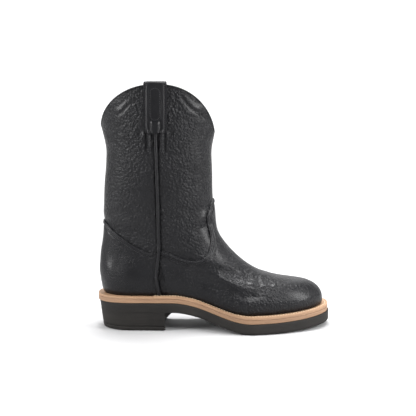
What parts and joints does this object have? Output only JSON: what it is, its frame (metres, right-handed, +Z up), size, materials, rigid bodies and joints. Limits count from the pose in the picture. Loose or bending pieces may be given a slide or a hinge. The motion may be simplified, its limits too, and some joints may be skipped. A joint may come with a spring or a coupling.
{
  "type": "western work boot",
  "caption": "Right-foot pull-on western work boot: scalloped leather shaft with a pull tab on each side, rounded toe, welted leather midsole, rubber outsole and block heel",
  "frame": {"origin": "under the middle of the boot's bounding box, on the floor that the heel and the forefoot rest on", "axes": "+X points to the toe, +Y to the inner side of the foot, +Z up through the shaft"},
  "size_m": [0.2996, 0.1136, 0.3115],
  "materials": {
    "black_leather": "black tumbled leather with a fine pebble grain and a soft sheen",
    "tan_leather": "natural tan sole leather, cut edge with fine lengthwise layers",
    "insole_leather": "plain undyed leather",
    "rubber": "smooth matte black rubber"
  },
  "bodies": {
    "root": {"outsole": "rubber", "heel_block": "rubber", "top_lift": "rubber", "midsole": "tan_leather", "welt": "tan_leather", "heel_rand": "tan_leather", "insole": "insole_leather", "upper": "black_leather", "vamp": "black_leather", "counter": "black_leather", "side_strip_outer": "black_leather", "side_strip_inner": "black_leather", "pull_tab_outer": "black_leather", "pull_tab_inner": "black_leather", "collar_bead": "black_leather"}
  },
  "joints": []
}
